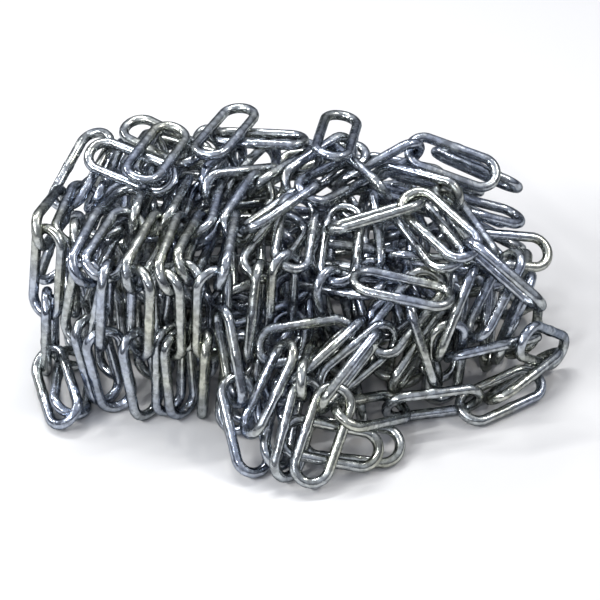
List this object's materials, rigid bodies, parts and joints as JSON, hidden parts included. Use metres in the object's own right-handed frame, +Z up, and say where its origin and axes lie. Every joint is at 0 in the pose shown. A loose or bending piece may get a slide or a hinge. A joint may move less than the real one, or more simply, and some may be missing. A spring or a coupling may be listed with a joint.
{
  "type": "chain heap",
  "caption": "Heap of bright zinc-plated long-link steel chain, dropped in loose runs that drape over each other, with a plain core in place of the links hidden deep inside.",
  "frame": {"origin": "on the floor, under the middle of the heap's bounding box", "axes": "+Z up, +X to the right along the heap's length, -Y towards the viewer of the picture"},
  "size_m": [0.2094, 0.1684, 0.0791],
  "materials": {
    "zinc_plated_steel": "bright blue-white zinc plate on welded round wire, smooth and glossy",
    "shaded_steel": "zinc plate in the shade of the links above it"
  },
  "bodies": {
    "root": {"back_1": "zinc_plated_steel", "back_2": "zinc_plated_steel", "back_3": "zinc_plated_steel", "back_4": "zinc_plated_steel", "back_5": "zinc_plated_steel", "back_right_1": "zinc_plated_steel", "back_right_2": "zinc_plated_steel", "back_right_3": "zinc_plated_steel", "back_right_4": "zinc_plated_steel", "centre_bar": "zinc_plated_steel", "centre_cross": "zinc_plated_steel", "centre_drape_1": "zinc_plated_steel", "centre_drape_2": "zinc_plated_steel", "centre_drape_3": "zinc_plated_steel", "front_diagonal": "zinc_plated_steel", "front_fork": "zinc_plated_steel", "front_loop_1": "zinc_plated_steel", "front_loop_2": "zinc_plated_steel", "front_loop_3": "zinc_plated_steel", "front_loop_4": "zinc_plated_steel", "front_loop_5": "zinc_plated_steel", "front_loop_6": "zinc_plated_steel", "heap_core": "shaded_steel", "left_drape_1": "zinc_plated_steel", "left_drape_2": "zinc_plated_steel", "left_drape_3": "zinc_plated_steel", "left_drape_4": "zinc_plated_steel", "left_drape_5": "zinc_plated_steel", "left_drape_6": "zinc_plated_steel", "left_drape_7": "zinc_plated_steel", "left_drape_8": "zinc_plated_steel", "left_drape_9": "zinc_plated_steel", "left_side_1": "zinc_plated_steel", "left_side_2": "zinc_plated_steel", "left_side_3": "zinc_plated_steel", "left_top_1": "zinc_plated_steel", "left_top_2": "zinc_plated_steel", "left_top_3": "zinc_plated_steel", "mid_arc_1": "zinc_plated_steel", "mid_arc_2": "zinc_plated_steel", "mid_cross": "zinc_plated_steel", "mid_steep_1": "zinc_plated_steel", "mid_steep_2": "zinc_plated_steel", "right_floor": "zinc_plated_steel", "right_loop": "zinc_plated_steel", "right_rise": "zinc_plated_steel", "right_shelf": "zinc_plated_steel", "right_side_1": "zinc_plated_steel", "right_side_2": "zinc_plated_steel", "right_slope_1": "zinc_plated_steel", "right_slope_2": "zinc_plated_steel", "right_slope_3": "zinc_plated_steel", "roof": "zinc_plated_steel", "roof_under": "zinc_plated_steel", "top_arch": "zinc_plated_steel", "top_diagonal": "zinc_plated_steel", "top_flat": "zinc_plated_steel", "top_long": "zinc_plated_steel", "top_upright_1": "zinc_plated_steel", "top_upright_2": "zinc_plated_steel"}
  },
  "joints": []
}
